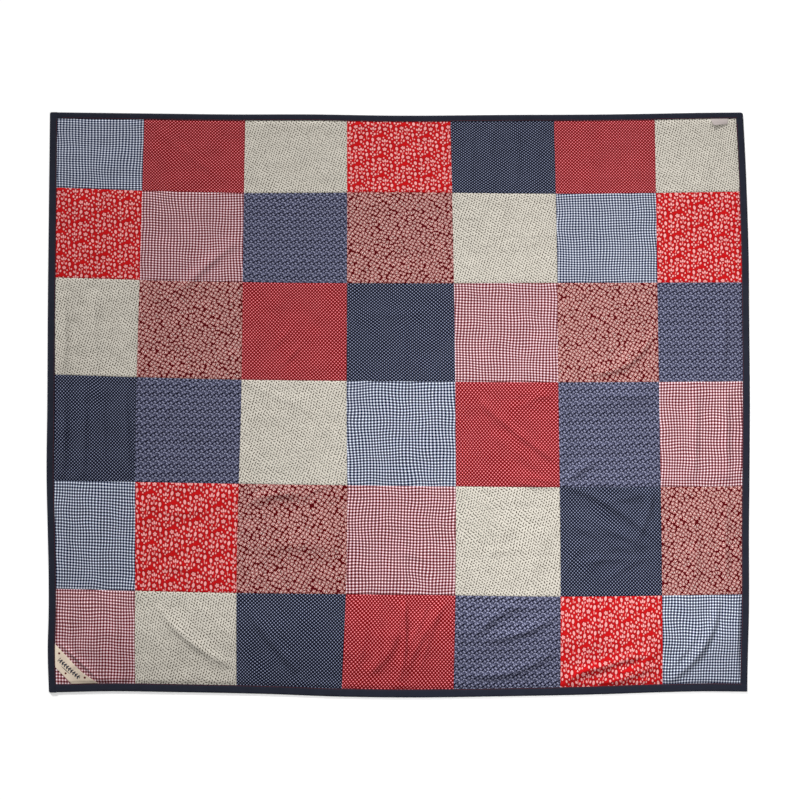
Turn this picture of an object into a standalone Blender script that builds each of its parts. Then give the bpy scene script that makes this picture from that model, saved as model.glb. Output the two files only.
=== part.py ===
"""A patchwork blanket that lies flat, with a bound edge, a ribbon across one corner and a care label.

The sheet is one solid. Its patches bulge a little between their seams, and the main creases of the
cloth are low ridges and troughs on its face. Four strips of binding tape are folded round its rim,
which runs inside them. The origin is the middle of the underside, +X runs along the long side, +Y
towards the blanket's top edge and +Z up.
"""
import bpy
import bmesh
import numpy as np
from mathutils import Vector
from mathutils.bvhtree import BVHTree

# Sheet, in metres: its height at a seam and how far a patch bulges above that
SHEET_AT_SEAMS = 0.0025
PATCH_CROWN = 0.0007
SEAM_FLANK = 0.010
SHEET_MIN = 0.0018

# Grid lines in each column from the left and each row from the bottom, closer where the cloth is creased
COLUMN_STEPS = (6, 7, 7, 7, 12, 12, 9)
ROW_STEPS = (11, 11, 11, 8, 5, 5)
PATCH_COLUMNS = len(COLUMN_STEPS)
PATCH_ROWS = len(ROW_STEPS)
SEAM_GRID_SHARE = 0.05

# Binding tape, folded round the rim of the sheet
BINDING_WIDTH = {"left": 0.0158, "right": 0.0155, "top": 0.0130, "bottom": 0.0175}
BINDING_HEIGHT = 0.0034
BINDING_LOWER_PLY = 0.0007
BINDING_UPPER_PLY = 0.0009
BINDING_FOLD = 0.0015
RIM_LOW = 0.0010
RIM_HIGH = 0.0022
CLEARANCE = 0.0003

# The tape's section: distance in from the fold and share of the height, from the underside up
FOLD_SECTION = ((0.0016, 0.0), (0.0005, 0.14), (0.0, 0.40), (0.0, 0.62), (0.0005, 0.88), (0.0016, 1.0))
INNER_EDGE_ROUND = 0.0011
INNER_EDGE_SHARE = 0.86

# Outer corners of the blanket: share of the rounding along the side, and share cut back across it
CORNER_ROUND = 0.0035
CORNER_SECTION = ((0.0, 0.70), (0.3, 0.28))

# Places where an outer edge may bend, the same for the sheet and its binding
EDGE_REACH = 0.770
EDGE_NODES = 36

# Outer edge of the binding: place along the side, and distance from the middle
EDGE_LEFT = {
    "y": (-0.624, -0.515, -0.460, -0.360, -0.260, -0.155, 0.000, 0.200, 0.400, 0.624),
    "x": (-0.7448, -0.7476, -0.7461, -0.7458, -0.7479, -0.7501, -0.7486, -0.7475, -0.7454, -0.7428),
}
EDGE_RIGHT = {
    "y": (-0.624, -0.515, -0.460, -0.260, -0.155, 0.000, 0.200, 0.300, 0.400, 0.510, 0.624),
    "x": (0.7440, 0.7462, 0.7477, 0.7482, 0.7492, 0.7501, 0.7485, 0.7477, 0.7452, 0.7410, 0.7352),
}
EDGE_TOP = {
    "x": (-0.745, -0.535, -0.330, -0.200, 0.000, 0.235, 0.440, 0.545, 0.645, 0.745),
    "y": (0.6240, 0.6214, 0.6193, 0.6195, 0.6168, 0.6183, 0.6193, 0.6209, 0.6227, 0.6236),
}
EDGE_BOTTOM = {
    "x": (-0.745, -0.610, -0.480, -0.280, -0.125, 0.000, 0.235, 0.440, 0.545, 0.650, 0.745),
    "y": (-0.6137, -0.6110, -0.6128, -0.6168, -0.6224, -0.6242, -0.6216, -0.6172, -0.6136, -0.6112, -0.6118),
}

# Seams between the patch columns: x of each at five stations, from the bottom up
SEAM_STATION_Y = (-0.624, -0.313, 0.000, 0.313, 0.624)
COLUMN_SEAMS = {
    "1 to 2": (-0.561, -0.561, -0.559, -0.550, -0.541),
    "2 to 3": (-0.345, -0.344, -0.335, -0.331, -0.326),
    "3 to 4": (-0.121, -0.109, -0.110, -0.109, -0.109),
    "4 to 5": (0.118, 0.123, 0.122, 0.118, 0.111),
    "5 to 6": (0.346, 0.346, 0.342, 0.339, 0.332),
    "6 to 7": (0.564, 0.562, 0.557, 0.552, 0.547),
}

# Seams between the patch rows, from the bottom row up: y of each at five stations, from the left
SEAM_STATION_X = (-0.750, -0.375, 0.000, 0.375, 0.750)
ROW_SEAMS = {
    "1 to 2": (-0.392, -0.401, -0.405, -0.409, -0.404),
    "2 to 3": (-0.161, -0.168, -0.173, -0.176, -0.174),
    "3 to 4": (0.065, 0.054, 0.050, 0.048, 0.050),
    "4 to 5": (0.272, 0.262, 0.259, 0.260, 0.261),
    "5 to 6": (0.464, 0.452, 0.453, 0.450, 0.455),
}

# Main creases of the cloth as it lies, each bent like an arc; a trough has a negative height
CREASE_COLUMNS = ("start", "bend", "end", "reach", "height")
CREASES = (
    ((0.184, -0.020), (0.225, -0.075), (0.337, -0.155), 0.010, -0.0009),
    ((0.200, -0.060), (0.255, -0.100), (0.337, -0.170), 0.012, 0.0030),
    ((0.235, -0.160), (0.285, -0.172), (0.340, -0.178), 0.010, 0.0022),
    ((0.352, -0.166), (0.385, -0.140), (0.425, -0.118), 0.012, 0.0028),
    ((0.354, 0.040), (0.366, -0.060), (0.352, -0.150), 0.010, 0.0022),
    ((0.352, -0.182), (0.440, -0.228), (0.530, -0.285), 0.011, -0.0009),
    ((0.356, -0.205), (0.440, -0.262), (0.528, -0.302), 0.016, 0.0038),
    ((0.390, -0.370), (0.415, -0.335), (0.455, -0.305), 0.014, 0.0024),
    ((0.400, 0.068), (0.500, 0.060), (0.545, 0.160), 0.013, 0.0032),
    ((0.420, 0.026), (0.490, 0.014), (0.548, 0.020), 0.014, 0.0026),
    ((0.220, -0.010), (0.255, 0.020), (0.310, 0.028), 0.012, 0.0022),
    ((-0.470, 0.236), (-0.410, 0.300), (-0.345, 0.345), 0.012, 0.0019),
    ((-0.310, -0.215), (-0.265, -0.180), (-0.190, -0.192), 0.013, 0.0020),
    ((-0.510, -0.420), (-0.470, -0.500), (-0.360, -0.560), 0.013, 0.0024),
    ((-0.325, -0.425), (-0.270, -0.490), (-0.215, -0.570), 0.013, 0.0024),
    ((-0.070, -0.575), (0.000, -0.540), (0.012, -0.420), 0.014, 0.0021),
    ((0.010, -0.590), (0.035, -0.500), (0.105, -0.420), 0.013, 0.0023),
    ((0.150, -0.510), (0.200, -0.440), (0.270, -0.425), 0.014, 0.0030),
    ((0.175, -0.500), (0.260, -0.500), (0.340, -0.448), 0.012, 0.0034),
    ((0.140, -0.575), (0.250, -0.590), (0.338, -0.520), 0.014, 0.0032),
    ((0.355, -0.590), (0.450, -0.545), (0.552, -0.530), 0.012, 0.0028),
    ((0.420, -0.596), (0.500, -0.585), (0.556, -0.548), 0.011, 0.0026),
    ((0.575, -0.590), (0.670, -0.530), (0.684, -0.412), 0.012, 0.0036),
    ((-0.712, 0.050), (-0.706, -0.060), (-0.714, -0.155), 0.012, 0.0018),
    ((-0.640, 0.045), (-0.646, -0.060), (-0.650, -0.155), 0.013, 0.0016),
)
CREASE_SAMPLES = 12
CREASE_FADE = 0.6

# Thin pieces that lie on the sheet, just clear of it and of the binding
TRIM_CLEARANCE = 0.0004
RAY_START = 0.1

# Corner ribbon: its long edges, from the left binding to the bottom binding
RIBBON_THICKNESS = 0.0010
RIBBON_LIFT = 0.0012
RIBBON_UPPER = {"x": (-0.7320, -0.7067, -0.6741, -0.6380), "y": (-0.5095, -0.5350, -0.5685, -0.5945)}
RIBBON_LOWER = {"x": (-0.7320, -0.7207, -0.7078, -0.6960), "y": (-0.5587, -0.5700, -0.5829, -0.5950)}
RIBBON_STEPS_ALONG = 10
RIBBON_STEPS_ACROSS = 4

# Care label: left and right ends of its seam edge and of its free edge
LABEL_THICKNESS = 0.0008
LABEL_CURL = 0.0020
LABEL_SEAM_X = (0.6655, 0.7035)
LABEL_FREE_X = (0.6715, 0.7015)
LABEL_FREE_Y = (0.5955, 0.5985)
LABEL_STEPS_ACROSS = 6
LABEL_STEPS_DOWN = 4

COLOURS = {
    "blanket_panel": (0.30, 0.13, 0.14, 1.0),
    "binding": (0.014, 0.016, 0.028, 1.0),
    "corner_ribbon": (0.74, 0.64, 0.50, 1.0),
    "care_label": (0.82, 0.82, 0.80, 1.0),
}
CLOTH_ROUGHNESS = 0.85
SHARP_ANGLE = np.radians(40)


def smooth_line(stations, values, at):
    """Smooth curve through (station, value) pairs, read at the places in at."""
    stations = np.asarray(stations, float)
    values = np.asarray(values, float)
    slopes = np.gradient(values, stations)
    cell = np.clip(np.searchsorted(stations, at) - 1, 0, len(stations) - 2)
    width = stations[cell + 1] - stations[cell]
    f = np.clip((at - stations[cell]) / width, 0.0, 1.0)
    first = (1 + 2 * f) * (1 - f) ** 2 * values[cell] + f * (1 - f) ** 2 * width * slopes[cell]
    second = f * f * (3 - 2 * f) * values[cell + 1] - f * f * (1 - f) * width * slopes[cell + 1]
    return first + second


def edge_nodes():
    """Places along a side where its edge may bend: the sheet and the binding share them."""
    return np.linspace(-EDGE_REACH, EDGE_REACH, EDGE_NODES)


def edge(side, at, inset=0.0):
    """Place of one side's outer edge, straight between its nodes, moved towards the middle by inset."""
    table, across, along, inward = {
        "left": (EDGE_LEFT, "x", "y", 1.0),
        "right": (EDGE_RIGHT, "x", "y", -1.0),
        "top": (EDGE_TOP, "y", "x", -1.0),
        "bottom": (EDGE_BOTTOM, "y", "x", 1.0),
    }[side]
    line = smooth_line(table[along], table[across], edge_nodes())
    return np.interp(at, edge_nodes(), line) + inward * inset


def sheet_side(side, at):
    """Place where the full thickness of the sheet stops, just clear of the binding."""
    return edge(side, at, BINDING_WIDTH[side] + CLEARANCE)


def column_lines(y):
    """x of the lines that bound the patch columns, at heights y."""
    seams = [smooth_line(SEAM_STATION_Y, seam, y) for seam in COLUMN_SEAMS.values()]
    return np.stack([sheet_side("left", y)] + seams + [sheet_side("right", y)])


def row_lines(x):
    """y of the lines that bound the patch rows, from the bottom up, at places x."""
    seams = [smooth_line(SEAM_STATION_X, seam, x) for seam in ROW_SEAMS.values()]
    return np.stack([sheet_side("bottom", x)] + seams + [sheet_side("top", x)])


def between(lines, position):
    """Value at a fractional position among a stack of lines."""
    first = np.minimum(np.floor(position).astype(int), len(lines) - 2)
    f = position - first
    pick = np.arange(len(position))
    return lines[first, pick] * (1 - f) + lines[first + 1, pick] * f


def sheet_points(s, t):
    """Plan position of patch coordinates: s counts columns from the left, t rows from the bottom."""
    x = np.interp(s, (0, PATCH_COLUMNS), (EDGE_LEFT["x"][0], EDGE_RIGHT["x"][0]))
    y = np.interp(t, (0, PATCH_ROWS), (EDGE_BOTTOM["y"][0], EDGE_TOP["y"][0]))
    for _ in range(8):
        x = between(column_lines(y), s)
        y = between(row_lines(x), t)
    return x, y


def crease_heights(x, y):
    """Height that the creases add: each follows its arc and fades out at both ends."""
    total = np.zeros_like(x)
    for row in CREASES:
        crease = dict(zip(CREASE_COLUMNS, row))
        f = np.linspace(0.0, 1.0, CREASE_SAMPLES + 1)[:, None]
        start, bend, end = (np.array(crease[column]) for column in ("start", "bend", "end"))
        path = start * (1 - f) ** 2 + 2 * bend * f * (1 - f) + end * f ** 2
        nearest = np.full_like(x, np.inf)
        fade = np.zeros_like(x)
        for k in range(CREASE_SAMPLES):
            run = path[k + 1] - path[k]
            g = ((x - path[k, 0]) * run[0] + (y - path[k, 1]) * run[1]) / (run @ run)
            g = np.clip(g, 0.0, 1.0)
            away = np.hypot(x - path[k, 0] - g * run[0], y - path[k, 1] - g * run[1])
            here = np.sin(np.pi * (k + g) / CREASE_SAMPLES) ** CREASE_FADE
            fade = np.where(away < nearest, here, fade)
            nearest = np.minimum(away, nearest)
        total += crease["height"] * fade * np.exp(-(nearest / crease["reach"]) ** 2)
    return total


def sheet_heights(s, t, x, y):
    """Top of the sheet: patches crowned between their seams, with the creases on them."""
    to_column_seam = np.abs(column_lines(y) - x).min(axis=0)
    to_row_seam = np.abs(row_lines(x) - y).min(axis=0)
    crown = (1 - np.exp(-to_column_seam / SEAM_FLANK)) * (1 - np.exp(-to_row_seam / SEAM_FLANK))
    at_side = (s <= 0) | (s >= PATCH_COLUMNS) | (t <= 0) | (t >= PATCH_ROWS)
    creases = np.where(at_side, 0.0, crease_heights(x, y))
    return np.maximum(SHEET_AT_SEAMS + PATCH_CROWN * crown + creases, SHEET_MIN)


def patch_stations(steps_in_patches):
    """Patch coordinates of the grid lines: one on every seam, one on each flank, the rest even."""
    line = [0.0]
    for patch, steps in enumerate(steps_in_patches):
        inner = np.linspace(SEAM_GRID_SHARE, 1 - SEAM_GRID_SHARE, steps - 1)
        line += [patch + f for f in inner] + [patch + 1.0]
    return np.array(line)


def make_object(name, builder, colour_name, parent):
    """One named object with its own cloth material, made from a bmesh."""
    mesh = bpy.data.meshes.new(name)
    bmesh.ops.recalc_face_normals(builder, faces=builder.faces)
    builder.to_mesh(mesh)
    builder.free()
    mesh.shade_smooth()
    mesh.set_sharp_from_angle(angle=SHARP_ANGLE)
    material = bpy.data.materials.new(name)
    material.use_nodes = True
    shader = material.node_tree.nodes["Principled BSDF"]
    shader.inputs["Base Color"].default_value = COLOURS[colour_name]
    shader.inputs["Roughness"].default_value = CLOTH_ROUGHNESS
    shader.inputs["Metallic"].default_value = 0.0
    mesh.materials.append(material)
    piece = bpy.data.objects.new(name, mesh)
    bpy.context.scene.collection.objects.link(piece)
    piece.parent = parent
    return piece


def ring_walls(builder, lower, upper):
    """Quads between two closed rings of equal length."""
    count = len(lower)
    for k in range(count):
        after = (k + 1) % count
        builder.faces.new((lower[k], lower[after], upper[after], upper[k]))


def rim_outline(inset):
    """Closed outline that runs inset from the outer edge, with a point at each of the sheet's stations."""
    s_line = patch_stations(COLUMN_STEPS)
    t_line = patch_stations(ROW_STEPS)
    loop = [(s, 0.0) for s in s_line[:-1]]
    loop += [(float(PATCH_COLUMNS), t) for t in t_line[:-1]]
    loop += [(s, float(PATCH_ROWS)) for s in s_line[:0:-1]]
    loop += [(0.0, t) for t in t_line[:0:-1]]
    s, t = np.array(loop).T
    x, y = sheet_points(s, t)
    for _ in range(4):
        x = np.where(s <= 0, edge("left", y, inset), np.where(s >= PATCH_COLUMNS, edge("right", y, inset), x))
        y = np.where(t <= 0, edge("bottom", x, inset), np.where(t >= PATCH_ROWS, edge("top", x, inset), y))
    return x, y


def make_panel(parent):
    """The sheet: a crowned and creased top, a thin rim that runs into the binding, a flat underside."""
    s_line = patch_stations(COLUMN_STEPS)
    t_line = patch_stations(ROW_STEPS)
    s, t = (grid.ravel() for grid in np.meshgrid(s_line, t_line))
    x, y = sheet_points(s, t)
    z = sheet_heights(s, t, x, y)
    builder = bmesh.new()
    grid = [builder.verts.new(point) for point in zip(x, y, z)]
    columns = len(s_line)
    rows = len(t_line)
    for row in range(rows - 1):
        for column in range(columns - 1):
            k = row * columns + column
            builder.faces.new((grid[k], grid[k + 1], grid[k + 1 + columns], grid[k + columns]))
    boundary = [grid[k] for k in range(columns - 1)]
    boundary += [grid[row * columns + columns - 1] for row in range(rows - 1)]
    boundary += [grid[(rows - 1) * columns + k] for k in range(columns - 1, 0, -1)]
    boundary += [grid[row * columns] for row in range(rows - 1, 0, -1)]
    side_plan = [vert.co.xy for vert in boundary]
    rim_plan = list(zip(*rim_outline(BINDING_FOLD + CLEARANCE)))
    previous = boundary
    plans = (side_plan, rim_plan, rim_plan, side_plan, side_plan)
    for plan, height in zip(plans, (RIM_HIGH, RIM_HIGH, RIM_LOW, RIM_LOW, 0.0)):
        ring = [builder.verts.new((a, b, height)) for a, b in plan]
        ring_walls(builder, ring, previous)
        previous = ring
    builder.faces.new(previous)
    surface = BVHTree.FromBMesh(builder)
    make_object("blanket_panel", builder, "blanket_panel", parent)
    return surface


def make_slot_cutter(parent):
    """Guide shape that opens each strip of binding for the rim of the sheet."""
    plan = list(zip(*rim_outline(BINDING_FOLD)))
    builder = bmesh.new()
    lower = [builder.verts.new((a, b, BINDING_LOWER_PLY)) for a, b in plan]
    upper = [builder.verts.new((a, b, BINDING_HEIGHT - BINDING_UPPER_PLY)) for a, b in plan]
    ring_walls(builder, lower, upper)
    builder.faces.new(lower)
    builder.faces.new(upper)
    cutter = make_object("slot_cutter", builder, "binding", parent)
    cutter.hide_render = True
    cutter.display_type = "WIRE"
    return cutter


def strip_profile(width):
    """Section of the folded tape, before its slot: distance from the inner edge, and height."""
    underside = [(0.0, 0.0)]
    fold = [(width - back, share * BINDING_HEIGHT) for back, share in FOLD_SECTION]
    inner_edge = [(INNER_EDGE_ROUND, BINDING_HEIGHT), (0.0, INNER_EDGE_SHARE * BINDING_HEIGHT)]
    return underside + fold + inner_edge


def strip_span(side):
    """Where each strip starts and stops along its side, and which of its ends are outer corners."""
    left, right = EDGE_LEFT["x"], EDGE_RIGHT["x"]
    bottom, top = EDGE_BOTTOM["y"], EDGE_TOP["y"]
    if side == "left":
        return edge("bottom", left[0]), edge("top", left[-1]), (True, True)
    if side == "right":
        return sheet_side("bottom", right[0]), sheet_side("top", right[-1]), (False, False)
    height = bottom if side == "bottom" else top
    return sheet_side("left", height[0]), edge("right", height[-1]), (False, True)


def make_strip(side, cutter, parent):
    """One strip of binding: a bar with a rounded fold, cut open for the rim."""
    start, stop, outer_corners = strip_span(side)
    margin = 2 * CORNER_ROUND
    stations = [node for node in edge_nodes() if start + margin < node < stop - margin]
    stations = [float(start)] + stations + [float(stop)]
    cut_backs = [0.0] * len(stations)
    corner = [(along * CORNER_ROUND, back * CORNER_ROUND) for along, back in CORNER_SECTION]
    if outer_corners[0]:
        stations[:1] = [start + along for along, _ in corner] + [start + CORNER_ROUND]
        cut_backs[:1] = [back for _, back in corner] + [0.0]
    if outer_corners[1]:
        stations[-1:] = [stop - CORNER_ROUND] + [stop - along for along, _ in reversed(corner)]
        cut_backs[-1:] = [0.0] + [back for _, back in reversed(corner)]
    width = BINDING_WIDTH[side]
    inner = edge(side, stations, width)
    outward = {"left": -1.0, "right": 1.0, "top": 1.0, "bottom": -1.0}[side]
    builder = bmesh.new()
    rings = []
    for place, base, cut_back in zip(stations, inner, cut_backs):
        ring = []
        for across, height in strip_profile(width):
            reach = base + outward * min(across, width - cut_back)
            point = (reach, place, height) if side in ("left", "right") else (place, reach, height)
            ring.append(builder.verts.new(point))
        rings.append(ring)
    for ring, after in zip(rings, rings[1:]):
        ring_walls(builder, ring, after)
    builder.faces.new(rings[0])
    builder.faces.new(rings[-1])
    strip = make_object("binding_" + side, builder, "binding", parent)
    slot = strip.modifiers.new("slot", "BOOLEAN")
    slot.operation = "DIFFERENCE"
    slot.solver = "EXACT"
    slot.object = cutter


def surface_height(surface, x, y):
    """Top of the sheet under a point, by a ray from above."""
    location = surface.ray_cast(Vector((x, y, RAY_START)), Vector((0, 0, -1)))[0]
    return location.z


def make_sheet_piece(name, plan, lift, thickness, surface, parent):
    """A thin closed piece that lies on the sheet: a grid of plan points, lifted, with its thickness."""
    builder = bmesh.new()
    lower = []
    upper = []
    for row_points, row_lift in zip(plan, lift):
        ground = [surface_height(surface, x, y) + TRIM_CLEARANCE for x, y in row_points]
        heights = [z + rise for z, rise in zip(ground, row_lift)]
        lower.append([builder.verts.new((x, y, z)) for (x, y), z in zip(row_points, heights)])
        upper.append([builder.verts.new((x, y, z + thickness)) for (x, y), z in zip(row_points, heights)])
    for layer in (lower, upper):
        for row, after in zip(layer, layer[1:]):
            for k in range(len(row) - 1):
                builder.faces.new((row[k], row[k + 1], after[k + 1], after[k]))
    borders = []
    for layer in (lower, upper):
        right_side = [row[-1] for row in layer[1:]]
        left_side = [row[0] for row in layer[-2:0:-1]]
        borders.append(layer[0] + right_side + layer[-1][-2::-1] + left_side)
    ring_walls(builder, borders[0], borders[1])
    make_object(name, builder, name, parent)


def make_corner_ribbon(surface, parent):
    """Ribbon across the bottom left corner, a little proud of the sheet along its upper edge."""
    at = np.linspace(0.0, 1.0, RIBBON_STEPS_ALONG + 1)
    knots = np.linspace(0.0, 1.0, len(RIBBON_UPPER["x"]))
    upper = {axis: smooth_line(knots, RIBBON_UPPER[axis], at) for axis in "xy"}
    lower = {axis: smooth_line(knots, RIBBON_LOWER[axis], at) for axis in "xy"}
    plan = []
    lift = []
    for across in np.linspace(0.0, 1.0, RIBBON_STEPS_ACROSS + 1):
        x = lower["x"] * (1 - across) + upper["x"] * across
        y = lower["y"] * (1 - across) + upper["y"] * across
        x = np.maximum(x, edge("left", y, BINDING_WIDTH["left"] + TRIM_CLEARANCE))
        y = np.maximum(y, edge("bottom", x, BINDING_WIDTH["bottom"] + TRIM_CLEARANCE))
        plan.append(list(zip(x, y)))
        lift.append(list(RIBBON_LIFT * across * np.sin(np.pi * at)))
    make_sheet_piece("corner_ribbon", plan, lift, RIBBON_THICKNESS, surface, parent)


def make_care_label(surface, parent):
    """Small folded label that hangs from the top seam, its lower left corner curled up."""
    plan = []
    lift = []
    across = np.linspace(0.0, 1.0, LABEL_STEPS_ACROSS + 1)
    seam_x = LABEL_SEAM_X[0] * (1 - across) + LABEL_SEAM_X[1] * across
    seam_y = edge("top", seam_x, BINDING_WIDTH["top"] + TRIM_CLEARANCE)
    free_x = LABEL_FREE_X[0] * (1 - across) + LABEL_FREE_X[1] * across
    free_y = LABEL_FREE_Y[0] * (1 - across) + LABEL_FREE_Y[1] * across
    for down in np.linspace(0.0, 1.0, LABEL_STEPS_DOWN + 1):
        plan.append(list(zip(seam_x * (1 - down) + free_x * down, seam_y * (1 - down) + free_y * down)))
        lift.append(list(LABEL_CURL * down ** 2 * (1 - across) ** 2))
    make_sheet_piece("care_label", plan, lift, LABEL_THICKNESS, surface, parent)


def main():
    for item in list(bpy.context.scene.objects):
        bpy.data.objects.remove(item, do_unlink=True)
    blanket = bpy.data.objects.new("blanket", None)
    bpy.context.scene.collection.objects.link(blanket)
    surface = make_panel(blanket)
    cutter = make_slot_cutter(blanket)
    for side in BINDING_WIDTH:
        make_strip(side, cutter, blanket)
    make_corner_ribbon(surface, blanket)
    make_care_label(surface, blanket)


main()
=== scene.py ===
"""The patchwork blanket as it looks: eight cottons, bound edge, corner ribbon and care label."""
import math

import bmesh
import bpy
import mathutils
import numpy as np
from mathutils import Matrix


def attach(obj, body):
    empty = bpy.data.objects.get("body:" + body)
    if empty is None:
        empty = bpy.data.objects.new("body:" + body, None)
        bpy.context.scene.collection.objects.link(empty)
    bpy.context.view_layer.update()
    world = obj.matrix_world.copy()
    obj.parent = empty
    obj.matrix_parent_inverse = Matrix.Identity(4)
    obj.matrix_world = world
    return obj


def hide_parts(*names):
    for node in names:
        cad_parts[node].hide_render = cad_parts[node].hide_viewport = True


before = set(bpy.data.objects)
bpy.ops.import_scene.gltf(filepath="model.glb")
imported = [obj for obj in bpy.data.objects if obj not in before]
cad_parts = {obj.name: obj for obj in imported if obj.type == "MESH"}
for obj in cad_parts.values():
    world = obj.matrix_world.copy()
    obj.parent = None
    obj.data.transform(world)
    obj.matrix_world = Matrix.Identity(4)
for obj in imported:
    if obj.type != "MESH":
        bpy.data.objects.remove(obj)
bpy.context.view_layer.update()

# The blanket's plan, as in the part's source, in metres
BINDING_WIDTH = {"left": 0.0158, "right": 0.0155, "top": 0.0130, "bottom": 0.0175}
EDGE_LEFT = {
    "y": (-0.624, -0.515, -0.460, -0.360, -0.260, -0.155, 0.000, 0.200, 0.400, 0.624),
    "x": (-0.7448, -0.7476, -0.7461, -0.7458, -0.7479, -0.7501, -0.7486, -0.7475, -0.7454, -0.7428),
}
EDGE_RIGHT = {
    "y": (-0.624, -0.515, -0.460, -0.260, -0.155, 0.000, 0.200, 0.300, 0.400, 0.510, 0.624),
    "x": (0.7440, 0.7462, 0.7477, 0.7482, 0.7492, 0.7501, 0.7485, 0.7477, 0.7452, 0.7410, 0.7352),
}
EDGE_TOP = {
    "x": (-0.745, -0.535, -0.330, -0.200, 0.000, 0.235, 0.440, 0.545, 0.645, 0.745),
    "y": (0.6240, 0.6214, 0.6193, 0.6195, 0.6168, 0.6183, 0.6193, 0.6209, 0.6227, 0.6236),
}
EDGE_BOTTOM = {
    "x": (-0.745, -0.610, -0.480, -0.280, -0.125, 0.000, 0.235, 0.440, 0.545, 0.650, 0.745),
    "y": (-0.6137, -0.6110, -0.6128, -0.6168, -0.6224, -0.6242, -0.6216, -0.6172, -0.6136, -0.6112, -0.6118),
}
SEAM_STATION_Y = (-0.624, -0.313, 0.000, 0.313, 0.624)
COLUMN_SEAMS = (
    (-0.561, -0.561, -0.559, -0.550, -0.541),
    (-0.345, -0.344, -0.335, -0.331, -0.326),
    (-0.121, -0.109, -0.110, -0.109, -0.109),
    (0.118, 0.123, 0.122, 0.118, 0.111),
    (0.346, 0.346, 0.342, 0.339, 0.332),
    (0.564, 0.562, 0.557, 0.552, 0.547),
)
SEAM_STATION_X = (-0.750, -0.375, 0.000, 0.375, 0.750)
ROW_SEAMS = (
    (-0.392, -0.401, -0.405, -0.409, -0.404),
    (-0.161, -0.168, -0.173, -0.176, -0.174),
    (0.065, 0.054, 0.050, 0.048, 0.050),
    (0.272, 0.262, 0.259, 0.260, 0.261),
    (0.464, 0.452, 0.453, 0.450, 0.455),
)

# Main creases, as in the part's source, in millimetres: x and y of start, bend and end, reach, height
MAIN_CREASES = (
    (200, -60, 255, -100, 337, -170, 18, 1.8), (235, -160, 285, -172, 340, -178, 10, 2.2),
    (352, -166, 385, -140, 425, -118, 12, 2.8), (354, 40, 366, -60, 352, -150, 10, 2.2),
    (390, -370, 415, -335, 455, -305, 14, 1.5), (400, 68, 500, 60, 545, 160, 13, 3.2),
    (420, 26, 490, 14, 548, 20, 14, 2.6), (269, 1, 299, 23, 333, 18, 11, 1.4),
    (-470, 236, -410, 300, -345, 345, 12, 1.9), (-310, -215, -265, -180, -190, -192, 13, 2),
    (-510, -420, -470, -500, -360, -560, 17, 1.7), (-325, -425, -270, -490, -215, -570, 13, 2.4),
    (-70, -575, 0, -540, 12, -420, 14, 2.1), (10, -590, 35, -500, 105, -420, 13, 2.3),
    (150, -510, 200, -440, 270, -425, 14, 3), (175, -500, 260, -500, 340, -448, 12, 3.4),
    (140, -575, 250, -590, 338, -520, 14, 3.2), (355, -590, 450, -545, 552, -530, 12, 2.8),
    (420, -596, 500, -585, 556, -548, 11, 2.6), (575, -590, 670, -530, 684, -412, 12, 3.6),
    (-712, 50, -706, -60, -714, -155, 12, 1.8), (-640, 45, -646, -60, -650, -155, 13, 1.6),
)

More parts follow.
